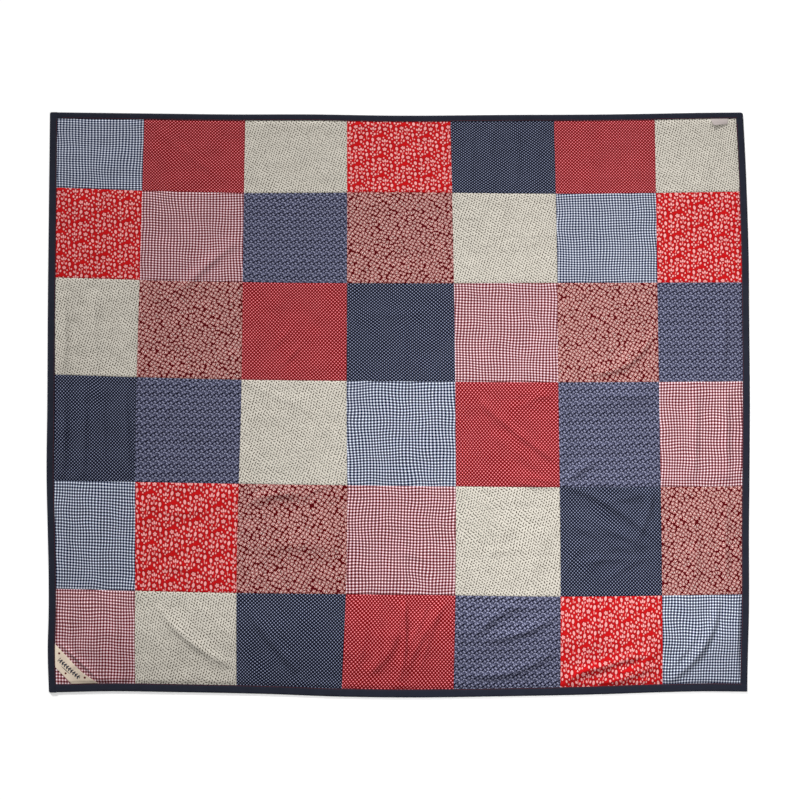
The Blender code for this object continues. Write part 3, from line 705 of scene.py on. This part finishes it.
def make_lying_piece(name, x, y, lift, thickness, cloth):
    """A thin closed piece on the patches: a grid of plan points, lifted, with rounded borders."""
    rows, columns = x.shape
    ground = np.maximum(cloth_height(x.ravel(), y.ravel()), LYING_MIN).reshape(rows, columns)
    ground = ground + TRIM_CLEARANCE
    border = np.ones((rows, columns), bool)
    border[1:-1, 1:-1] = False
    bottom = ground + lift + np.where(border, 0.25 * thickness, 0.0)
    top = ground + lift + np.where(border, 0.75 * thickness, thickness)
    size = rows * columns
    points = [np.stack([x.ravel(), y.ravel(), z.ravel()], axis=1) for z in (top, bottom)]
    faces = grid_faces(rows, columns) + grid_faces(rows, columns, size, flip=True)
    faces += wall(grid_border(rows, columns), grid_border(rows, columns, size))
    flat = np.stack([cloth[0].ravel(), cloth[1].ravel(), np.zeros(size)], axis=1)
    attributes = (("cloth", "FLOAT_VECTOR", np.concatenate([flat, flat])),)
    piece = shell(name, np.concatenate(points), faces, attributes, sharp=60)
    turn_outward(piece)
    return piece


def make_ribbon():
    """Ribbon across the bottom left corner, proud of the patch along its upper edge."""
    across = np.linspace(0.0, 1.0, RIBBON_GRID[0])[:, None]
    at = np.linspace(0.0, 1.0, RIBBON_GRID[1])
    knots = np.linspace(0.0, 1.0, len(RIBBON_UPPER["x"]))
    upper = [smooth_line(knots, RIBBON_UPPER[axis], at) for axis in "xy"]
    lower = [smooth_line(knots, RIBBON_LOWER[axis], at) for axis in "xy"]
    x = lower[0] * (1 - across) + upper[0] * across
    y = lower[1] * (1 - across) + upper[1] * across
    x = np.maximum(x, edge("left", y.ravel(), BINDING_WIDTH["left"] + TRIM_GAP).reshape(x.shape))
    y = np.maximum(y, edge("bottom", x.ravel(), BINDING_WIDTH["bottom"] + TRIM_GAP).reshape(y.shape))
    arch = np.sin(np.pi * at)
    lift = RIBBON_LIFT * arch * (0.15 + 0.85 * across ** 1.5)
    lift = lift + 0.0006 * arch * np.sin(2 * np.pi * at * 1.5 + 0.8) * across
    a, b = x - RIBBON_CENTRE[0], y - RIBBON_CENTRE[1]
    cos, sin = math.cos(RIBBON_ANGLE), math.sin(RIBBON_ANGLE)
    cloth = (a * cos + b * sin, -a * sin + b * cos)
    return make_lying_piece("ribbon_tape", x, y, lift, RIBBON_THICKNESS, cloth)


def make_label():
    """Bare satin label, folded double, its lower left corner curled up."""
    down = np.linspace(0.0, 1.0, LABEL_GRID[0])[:, None]
    across = np.linspace(0.0, 1.0, LABEL_GRID[1])
    seam_x = LABEL_SEAM_X[0] * (1 - across) + LABEL_SEAM_X[1] * across
    seam_y = edge("top", seam_x, BINDING_WIDTH["top"] + TRIM_GAP)
    free_x = LABEL_FREE_X[0] * (1 - across) + LABEL_FREE_X[1] * across
    free_y = LABEL_FREE_Y[0] * (1 - across) + LABEL_FREE_Y[1] * across
    x = seam_x * (1 - down) + free_x * down
    y = seam_y * (1 - down) + free_y * down
    lift = LABEL_CURL * down ** 2 * (1 - across) ** 2 + 0.0005 * down * np.sin(np.pi * across)
    return make_lying_piece("label_satin", x, y, lift, LABEL_THICKNESS, (x, y))


def rgb(red, green, blue):
    """Linear colour from screen values of 0 to 255."""
    seen = np.array([red, green, blue]) / 255
    linear = np.where(seen <= 0.04045, seen / 12.92, ((seen + 0.055) / 1.055) ** 2.4)
    return (float(linear[0]), float(linear[1]), float(linear[2]), 1.0)


class Net:
    """The node network of one material, built from small steps."""

    def __init__(self, name):
        self.material = bpy.data.materials.new(name)
        self.material.use_nodes = True
        self.nodes = self.material.node_tree.nodes
        self.links = self.material.node_tree.links
        self.shader = self.nodes["Principled BSDF"]

    def feed(self, socket, value):
        if isinstance(value, bpy.types.NodeSocket):
            self.links.new(value, socket)
        else:
            socket.default_value = value[:3] if socket.type == "VECTOR" else value

    def node(self, kind, inputs, **settings):
        made = self.nodes.new("ShaderNode" + kind)
        for key, value in settings.items():
            setattr(made, key, value)
        for key, value in inputs.items():
            self.feed(made.inputs[key], value)
        return made

    def attribute(self, name, output="Fac"):
        return self.node("Attribute", {}, attribute_name=name).outputs[output]

    def math(self, operation, *values):
        return self.node("Math", dict(enumerate(values)), operation=operation).outputs[0]

    def vector(self, operation, *values):
        made = self.node("VectorMath", dict(enumerate(values)), operation=operation)
        return made.outputs["Value" if operation == "LENGTH" else "Vector"]

    def times(self, first, second):
        return self.math("MULTIPLY", first, second)

    def plus(self, first, second):
        return self.math("ADD", first, second)

    def times_plus(self, value, factor, more):
        return self.math("MULTIPLY_ADD", value, factor, more)

    def scale(self, vector, factor):
        return self.node("VectorMath", {0: vector, "Scale": factor}, operation="SCALE").outputs["Vector"]

    def split(self, vector):
        made = self.node("SeparateXYZ", {0: vector})
        return made.outputs[0], made.outputs[1]

    def join(self, x, y):
        return self.node("CombineXYZ", {0: x, 1: y, 2: 0.0}).outputs[0]

    def smooth(self, value, start, stop):
        """0 at start, 1 at stop, smooth between them."""
        inputs = {"Value": value, "From Min": start, "From Max": stop}
        return self.node("MapRange", inputs, interpolation_type="SMOOTHSTEP").outputs["Result"]

    def mix(self, factor, first, second):
        return self.node("Mix", {0: factor, 6: first, 7: second}, data_type="RGBA").outputs[2]

    def noise(self, place, pitch, detail=2.0):
        """Soft noise about 0.5, its patches about a pitch across."""
        inputs = {"Vector": place, "Scale": 1.0 / pitch, "Detail": detail}
        return self.node("TexNoise", inputs, noise_dimensions="2D").outputs[0]

    def wave(self, value, pitch):
        return self.math("SINE", self.times(value, 2 * math.pi / pitch))

    def wrap(self, place, pitch):
        """Place within a repeat that is centred on 0."""
        high = (pitch[0] / 2, pitch[1] / 2, 1.0)
        low = (-pitch[0] / 2, -pitch[1] / 2, -1.0)
        return self.vector("WRAP", place, high, low)

    def cells(self, place, pitch, stagger=0.5):
        """Place within a cell, centred, and the cell's number; every other row is shifted."""
        x, y = self.split(place)
        row = self.math("FLOOR", self.math("DIVIDE", y, pitch[1]))
        shift = self.times(self.math("FLOORED_MODULO", row, 2.0), stagger * pitch[0])
        shifted = self.plus(x, shift)
        column = self.math("FLOOR", self.math("DIVIDE", shifted, pitch[0]))
        here_x = self.math("SUBTRACT", shifted, self.times(self.plus(column, 0.5), pitch[0]))
        here_y = self.math("SUBTRACT", y, self.times(self.plus(row, 0.5), pitch[1]))
        return self.join(here_x, here_y), self.join(column, row)

    def chance(self, number, seed):
        """Three random values of a cell."""
        moved = self.vector("ADD", number, (seed, 2.0 * seed, 0.0))
        return self.node("TexWhiteNoise", {"Vector": moved}, noise_dimensions="2D").outputs["Color"]

    def jitter(self, place, chance, amount):
        """Moves a cell's motif by up to amount each way."""
        centred = self.vector("SUBTRACT", chance, (0.5, 0.5, 0.5))
        moved = self.vector("MULTIPLY", centred, (2 * amount, 2 * amount, 0.0))
        return self.vector("SUBTRACT", place, moved)

    def turn(self, place, angle):
        inputs = {"Vector": place, "Angle": angle}
        return self.node("VectorRotate", inputs, rotation_type="Z_AXIS").outputs[0]

    def ovals(self, place, table):
        """Least distance from ovals, 1 on their outlines: x, y and two radii in mm, and angle of each."""
        near = None
        for x, y, wide, tall, angle in table:
            inputs = {
                "Vector": place,
                "Location": (x * MM, y * MM, 0.0),
                "Rotation": (0.0, 0.0, math.radians(angle)),
                "Scale": (wide * MM, tall * MM, 1.0),
            }
            distance = self.vector("LENGTH", self.node("Mapping", inputs, vector_type="TEXTURE").outputs[0])
            near = distance if near is None else self.math("MINIMUM", near, distance)
        return near

    def surface(self, colour, slub, roughness, height, strength, depth, gloss, sheen=0.0):
        """Feeds the shader: colour, roughness between two values, bump, gloss and sheen."""
        self.feed(self.shader.inputs["Base Color"], colour)
        inputs = {"Value": slub, "To Min": roughness[0], "To Max": roughness[1]}
        self.feed(self.shader.inputs["Roughness"], self.node("MapRange", inputs).outputs["Result"])
        bump = self.node("Bump", {"Strength": strength, "Distance": depth, "Height": height})
        self.feed(self.shader.inputs["Normal"], bump.outputs[0])
        self.settle({"Specular IOR Level": gloss, "Sheen Weight": sheen})
        return self.material

    def settle(self, values):
        """Sets the shader's sockets that are the same all over."""
        for key, value in values.items():
            self.shader.inputs[key].default_value = value

    def petals(self, place, radius, count, depth, phase=0.0):
        """Distance from a flower's middle, 1 on its scalloped outline, and how far in a petal a place is."""
        x, y = self.split(place)
        around = self.times(self.math("ARCTAN2", y, x), float(count))
        lobe = self.math("COSINE", self.plus(around, phase))
        outline = self.times_plus(lobe, depth * radius, radius * (1 - depth))
        return self.math("DIVIDE", self.vector("LENGTH", place), outline), lobe


def pin_dots(net, cloth, pitch, radius, ground, dot):
    """Small round dots in a staggered grid."""
    first = net.vector("LENGTH", net.wrap(cloth, pitch))
    moved = net.vector("ADD", cloth, (pitch[0] / 2, pitch[1] / 2, 0.0))
    second = net.vector("LENGTH", net.wrap(moved, pitch))
    near = net.math("MINIMUM", first, second)
    uneven = net.times_plus(net.noise(cloth, 0.0011), 0.0005, -0.00025)
    mask = net.smooth(net.plus(near, uneven), radius + 0.00022, radius - 0.00022)
    return net.mix(mask, ground, dot)


def gingham(net, cloth, pitch, pale, middle, dark):
    """Even woven check: pale and dyed threads in both directions."""
    x, y = net.split(cloth)
    warp = net.smooth(net.wave(x, pitch), -0.31, -0.15)
    weft = net.smooth(net.wave(y, pitch), -0.31, -0.15)
    return net.mix(warp, net.mix(weft, pale, middle), net.mix(weft, middle, dark))


def sprig(net, cloth, ground, ink):
    """Tiny dashes and dots, each turned its own way."""
    here, number = net.cells(net.turn(cloth, 0.72), (0.0060, 0.0057))
    chance = net.chance(number, 3.0)
    first, second = net.split(chance)
    moved = net.jitter(here, chance, 0.0005)
    angle = net.times(net.math("FLOOR", net.times(first, 3.0)), 0.79)
    turned = net.turn(moved, angle)
    length = net.times_plus(second, 0.25, 0.85)
    stretched = net.scale(turned, net.math("DIVIDE", 1.0, length))
    dash = net.ovals(stretched, ((0, 0, 2.2, 1.1, 0), (1.9, 1.3, 0.7, 0.7, 0)))
    return net.mix(net.smooth(dash, 1.12, 0.84), ground, ink)


def blossoms(net, cloth, ground, petal, line, heart):
    """Small round flowers strewn close together, each turned its own way."""
    pitch = 0.0076
    inputs = {"Vector": cloth, "Scale": 38.0, "Detail": 1.0}
    drift = net.node("TexNoise", inputs, noise_dimensions="2D").outputs["Color"]
    cloth = net.turn(net.jitter(cloth, drift, 0.0030), 0.56)
    spread = {"Vector": cloth, "Scale": 1.0 / pitch, "Randomness": 0.50}
    near = net.node("TexVoronoi", spread, voronoi_dimensions="2D")
    border = net.node("TexVoronoi", spread, voronoi_dimensions="2D", feature="DISTANCE_TO_EDGE")
    first, second = net.split(near.outputs["Color"])
    here = net.vector("SUBTRACT", cloth, near.outputs["Position"])
    size = net.times_plus(second, 0.22, 0.89)
    sized = net.scale(here, net.math("DIVIDE", 1.0, size))
    outline, lobe = net.petals(sized, 0.0038, 5, 0.13, net.times(first, 6.28))
    apart = net.smooth(border.outputs["Distance"], 0.066, 0.112)
    flower = net.times(net.smooth(outline, 1.04, 0.96), apart)
    slits = net.times(net.smooth(lobe, -0.30, -0.80), net.smooth(outline, 0.46, 0.60))
    ring = net.times(net.smooth(outline, 0.28, 0.34), net.smooth(outline, 0.58, 0.50))
    marks = net.math("MAXIMUM", ring, net.times(slits, 0.80))
    colour = net.mix(flower, ground, petal)
    colour = net.mix(net.times(marks, flower), colour, line)
    return net.mix(net.smooth(outline, 0.36, 0.28), colour, heart)


def vine(net, cloth, ground, pale, dark):
    """Leaning dark leaves in rows, joined by thin stems, with pale tendrils between them."""
    here = net.wrap(cloth, (0.0156, 0.0173))
    tendrils = net.ovals(here, (
        (-0.4, 0.4, 3.4, 0.95, -42), (5.6, 4.8, 2.6, 0.85, -50), (-5.8, 6.6, 2.3, 0.85, -35),
        (-6.5, -2, 2.5, 0.85, -48), (3.4, -6.4, 3.2, 0.95, -38), (-2, -5.6, 1.9, 0.8, 35),
    ))
    leaves = net.ovals(here, (
        (-3.6, 2.9, 3.7, 1.6, 40), (4, -2.2, 3.5, 1.5, 38), (2.2, 6.4, 2.3, 1.15, 30),
        (-4.8, -5.2, 2.3, 1.15, 50),
    ))
    stems = net.ovals(here, (
        (1.9, 2.6, 2.4, 0.75, -50), (-2.6, -2.2, 2.4, 0.75, -40), (6.9, 1.2, 2, 0.7, 70),
        (-0.2, -8, 2.2, 0.7, 15), (6.8, -6.2, 1.8, 0.7, 60), (-7.2, 2.6, 1.6, 0.7, 20),
    ))
    colour = net.mix(net.smooth(tendrils, 1.15, 0.85), ground, pale)
    darks = net.math("MAXIMUM", net.smooth(leaves, 1.15, 0.85), net.smooth(stems, 1.2, 0.8))
    return net.mix(darks, colour, dark)


def floral(net, cloth, ground, shade, petal, vein):
    """Upright strings of buds, tulips and round blossoms in a half-drop repeat."""
    wide, tall = 0.0360, 0.0404
    cloth = net.scale(cloth, 0.76)
    x, y = net.split(cloth)
    column = net.math("FLOOR", net.math("DIVIDE", x, wide))
    drop = net.times(net.math("FLOORED_MODULO", column, 2.0), 0.43 * tall)
    from_middle = net.math("SUBTRACT", x, net.times(net.plus(column, 0.5), wide))
    here = net.wrap(net.join(from_middle, net.plus(y, drop)), (wide, tall))
    buds = net.ovals(here, (
        (-12.5, 13.5, 2.2, 3.9, 8), (-3.4, -2.4, 2.2, 3.9, -8), (14.4, 1.6, 2.2, 3.9, -6),
        (15, -16.4, 2.2, 3.9, 10), (-14.9, 4.8, 1.6, 2.5, 25), (-9.4, 2.2, 1.6, 2.5, -25),
        (-15.2, -14.2, 1.6, 2.5, 12), (-9.8, -15.6, 1.6, 2.5, -12), (-6.2, 8.6, 1.6, 2.5, 15),
        (-1.6, -10.4, 1.6, 2.5, -18), (2.2, 4.2, 1.6, 2.5, 20), (8.8, 3.4, 1.6, 2.5, -20),
        (5.2, -13, 1.6, 2.5, 8), (11.6, 18.4, 1.6, 2.5, -10), (13.2, 10.2, 1.6, 2.5, 16),
    ))
    berries = net.ovals(here, (
        (-12.4, -10.2, 1.15, 1.7, 0), (-1.8, 9.4, 1.15, 1.7, 0), (-5.6, -14.8, 1.15, 1.7, 0),
        (9.8, -9.2, 1.15, 1.7, 0), (16.8, -7.4, 1.15, 1.7, 0), (-12.6, -19.2, 1.15, 1.7, 0),
        (3.4, 18.8, 1.15, 1.7, 0), (16.4, 15.4, 1.15, 1.7, 0), (8.8, -16.8, 1.15, 1.7, 0),
    ))
    tulips = net.ovals(here, (
        (-12.6, -3.8, 1.5, 3.2, 0), (-15.6, -5, 1.3, 2.5, 22), (-9.6, -5.2, 1.3, 2.5, -22),
        (5.4, 13.2, 1.5, 3.2, 0), (2.4, 12, 1.3, 2.5, 22), (8.4, 12, 1.3, 2.5, -22),
    ))
    stems = net.ovals(here, (
        (-12.4, 5.2, 0.6, 4.4, 3), (-3.4, 4.6, 0.6, 3.2, -6), (5.4, 6.6, 0.6, 3.4, 0),
        (14, -5.8, 0.6, 3.2, 4), (-5.4, -9.2, 0.6, 3, -20),
    ))
    blooms = None
    for centre in ((-3.2, 15.8), (5.0, -4.4)):
        place = net.vector("SUBTRACT", here, (centre[0] * MM, centre[1] * MM, 0.0))
        outline, _ = net.petals(place, 3.7 * MM, 5, 0.15, centre[0])
        blooms = outline if blooms is None else net.math("MINIMUM", blooms, outline)
    flowers = net.math("MINIMUM", net.math("MINIMUM", buds, berries), net.math("MINIMUM", tulips, blooms))
    around = net.smooth(flowers, 1.8, 1.05)
    colour = net.mix(net.times(around, 0.75), ground, shade)
    colour = net.mix(net.times(net.smooth(stems, 1.2, 0.85), 0.75), colour, petal)
    colour = net.mix(net.smooth(flowers, 1.02, 0.84), colour, petal)
    ring = net.times(net.smooth(blooms, 0.22, 0.30), net.smooth(blooms, 0.56, 0.44))
    return net.mix(net.times(ring, 0.55), colour, vein)


def finish_cotton(net, colour, cloth, thread=0.00046, paler_reverse=True):
    """Threads, slubs and slight unevenness over a print, and the cloth's dull shine."""
    x, y = net.split(cloth)
    weave = net.times(net.wave(x, 2 * thread), net.wave(y, 2 * thread))
    slub = net.noise(net.vector("MULTIPLY", cloth, (1.0, 5.0, 1.0)), 0.0045, 3.0)
    slub_across = net.noise(net.vector("MULTIPLY", cloth, (5.0, 1.0, 1.0)), 0.0045, 3.0)
    slubs = net.plus(slub, slub_across)
    wash = net.noise(cloth, 0.055)
    factor = net.times_plus(weave, 0.05, 1.0)
    factor = net.plus(factor, net.times_plus(slubs, 0.12, -0.12))
    factor = net.plus(factor, net.times_plus(wash, 0.10, -0.05))
    if paler_reverse:
        factor = net.times(factor, net.attribute("tone"))
        colour = net.mix(net.times(net.attribute("reverse"), 0.45), colour, rgb(205, 198, 192))
    height = net.plus(net.times(weave, 0.5), slubs)
    return net.surface(net.scale(colour, factor), slub, (0.80, 0.95), height, 0.35, 0.00009, 0.08, 0.02)


# Print of each cotton and what it takes: repeat and sizes in metres, then the colours
FABRICS = {
    "N": (gingham, 0.0063, rgb(241, 246, 255), rgb(126, 134, 160), rgb(3, 8, 32)),
    "R": (gingham, 0.0063, rgb(255, 240, 248), rgb(180, 116, 122), rgb(76, 14, 20)),
    "P": (pin_dots, (0.0069, 0.0079), 0.00139, rgb(122, 0, 3), rgb(255, 140, 149)),
    "D": (pin_dots, (0.0073, 0.0071), 0.00134, rgb(5, 8, 28), rgb(142, 149, 176)),
    "C": (sprig, rgb(215, 209, 197), rgb(70, 63, 52)),
    "F": (floral, rgb(200, 18, 22), rgb(134, 8, 18), rgb(252, 172, 170), rgb(208, 76, 78)),
    "M": (blossoms, rgb(86, 1, 7), rgb(238, 172, 166), rgb(96, 8, 14), rgb(255, 234, 226)),
    "V": (vine, rgb(84, 86, 111), rgb(156, 158, 183), rgb(3, 4, 24)),
}


def fabric(letter):
    """The material of one of the eight cottons."""
    net = Net(FABRIC_NAMES[letter])
    cloth = net.attribute("cloth", "Vector")
    draw, *settings = FABRICS[letter]
    return finish_cotton(net, draw(net, cloth, *settings), cloth)


def tape_material():
    """Dark navy twill tape."""
    net = Net("binding_twill")
    cloth = net.attribute("cloth", "Vector")
    x, y = net.split(cloth)
    rib = net.wave(net.plus(x, net.times(y, 1.2)), 0.0011)
    slub = net.noise(net.vector("MULTIPLY", cloth, (1.0, 6.0, 1.0)), 0.006, 3.0)
    wear = net.noise(cloth, 0.030, 3.0)
    factor = net.times_plus(rib, 0.10, 0.92)
    factor = net.plus(factor, net.times_plus(slub, 0.35, -0.12))
    factor = net.plus(factor, net.times_plus(wear, 0.30, -0.15))
    height = net.plus(net.times(rib, 0.6), slub)
    colour = net.scale(rgb(36, 39, 52), factor)
    return net.surface(colour, slub, (0.72, 0.90), height, 0.5, 0.00015, 0.12, 0.03)


def thread_material():
    """Twisted wine-dark sewing thread."""
    net = Net("binding_thread")
    place = net.node("TexCoord", {}).outputs["Object"]
    ply = net.wave(net.vector("LENGTH", place), 0.0006)
    colour = net.scale(rgb(112, 36, 42), net.times_plus(ply, 0.15, 1.0))
    net.feed(net.shader.inputs["Base Color"], colour)
    net.settle({"Roughness": 0.7, "Specular IOR Level": 0.15})
    return net.material


def ribbon_material():
    """Cream cotton tape with a leaf sprig, a short line and three red dots printed on it."""
    net = Net("ribbon_cotton")
    cloth = net.attribute("cloth", "Vector")
    x, y = net.split(cloth)
    leaf_pitch = 0.0062
    sway = net.times(net.wave(x, 2 * leaf_pitch), 0.0006)
    within = net.smooth(net.math("ABSOLUTE", x), 0.0305, 0.0295)
    stem = net.smooth(net.math("ABSOLUTE", net.math("SUBTRACT", y, sway)), 0.0011, 0.0007)
    leaf_place = net.join(net.math("WRAP", x, leaf_pitch / 2, -leaf_pitch / 2), y)
    leaves = net.ovals(leaf_place, ((0.9, 2.5, 2.9, 1.45, 55), (0.9, -2.5, 2.9, 1.45, -55)))
    sprigs = net.times(net.math("MAXIMUM", stem, net.smooth(leaves, 1.15, 0.85)), within)
    rule = net.smooth(net.ovals(cloth, ((-4, -7.4, 12.5, 0.75, 0),)), 1.1, 0.9)
    dots = ((-37.9, 10.1, 2.4, 2.4, 0), (0.7, -12.6, 2.2, 2.2, 0), (37.3, 8.3, 2.4, 2.4, 0))
    colour = net.mix(net.math("MAXIMUM", sprigs, rule), rgb(238, 220, 199), rgb(46, 50, 64))
    colour = net.mix(net.smooth(net.ovals(cloth, dots), 1.15, 0.85), colour, rgb(98, 14, 12))
    return finish_cotton(net, colour, cloth, thread=0.00055, paler_reverse=False)


def satin_material():
    """White label satin with its fine cross ribs."""
    net = Net("label_satin")
    cloth = net.attribute("cloth", "Vector")
    rib = net.wave(net.split(cloth)[1], 0.0005)
    slub = net.noise(net.vector("MULTIPLY", cloth, (1.0, 8.0, 1.0)), 0.004, 3.0)
    factor = net.plus(net.times_plus(rib, 0.02, 0.97), net.times_plus(slub, 0.08, -0.04))
    colour = net.scale(rgb(186, 175, 172), factor)
    return net.surface(colour, slub, (0.34, 0.48), net.plus(rib, slub), 0.3, 0.00005, 0.5)


def dress(piece, material, slot, *nodes):
    """Gives a piece its material and its body, and hides the CAD nodes that it stands for; slot is not used.
    """
    piece.data.materials.append(material)
    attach(piece, "root")
    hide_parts(*nodes)


def place(name, data):
    """An object in the scene for a lamp or a camera."""
    placed = bpy.data.objects.new(name, data)
    bpy.context.scene.collection.objects.link(placed)
    return placed


for letter in FABRICS:
    patches, area = make_patches(letter)
    dress(patches, fabric(letter), "patchwork", "blanket_panel")

tape = tape_material()
thread = thread_material()
for side in BINDING_WIDTH:
    strip, length = make_strip(side)
    dress(strip, tape, "binding", "binding_" + side)
    stitches = make_stitches(side)
    stitches.data.materials.append(thread)
    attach(stitches, "root")

ribbon = make_ribbon()
dress(ribbon, ribbon_material(), "ribbon", "corner_ribbon")
label = make_label()
dress(label, satin_material(), "label", "care_label")

# Floor, world, lamps and camera
floor_net = Net("floor")
floor_net.settle({
    "Base Color": (0.95, 0.95, 0.95, 1.0),
    "Roughness": 0.9,
    "Specular IOR Level": 0.1,
    "Emission Color": (1.0, 1.0, 1.0, 1.0),
    "Emission Strength": FLOOR_GLOW,
})
corners = ((-1, -1), (1, -1), (1, 1), (-1, 1))
floor = shell("floor", [(x * FLOOR_HALF, y * FLOOR_HALF, FLOOR_LEVEL) for x, y in corners], [(0, 1, 2, 3)])
floor.data.materials.append(floor_net.material)

world = bpy.data.worlds.new("studio")
world.use_nodes = True
background = world.node_tree.nodes["Background"]
background.inputs["Color"].default_value = (1.0, 1.0, 1.0, 1.0)
background.inputs["Strength"].default_value = WORLD_STRENGTH
bpy.context.scene.world = world

sun = place("key", bpy.data.lights.new("key", "SUN"))
sun.data.energy = SUN_STRENGTH
sun.data.angle = math.radians(SUN_SOFTNESS)
sun.rotation_euler = mathutils.Vector(SUN_DIRECTION).to_track_quat("-Z", "Y").to_euler()

# Soft lamp above the lower right part, from where the light falls off gently
lamp = place("fill", bpy.data.lights.new("fill", "AREA"))
lamp.data.shape = "DISK"
lamp.data.size = LAMP_SIZE
lamp.data.energy = LAMP_POWER
lamp.location = LAMP_PLACE

# Camera straight above, as in the photo
camera = place("camera", bpy.data.cameras.new("camera"))
camera.data.lens = LENS
camera.data.sensor_width = SENSOR
camera.location = (*CAMERA_PLACE, FRAME_WIDTH * LENS / SENSOR + CLOTH_LEVEL)
bpy.context.scene.camera = camera
bpy.context.scene.view_settings.view_transform = "Standard"
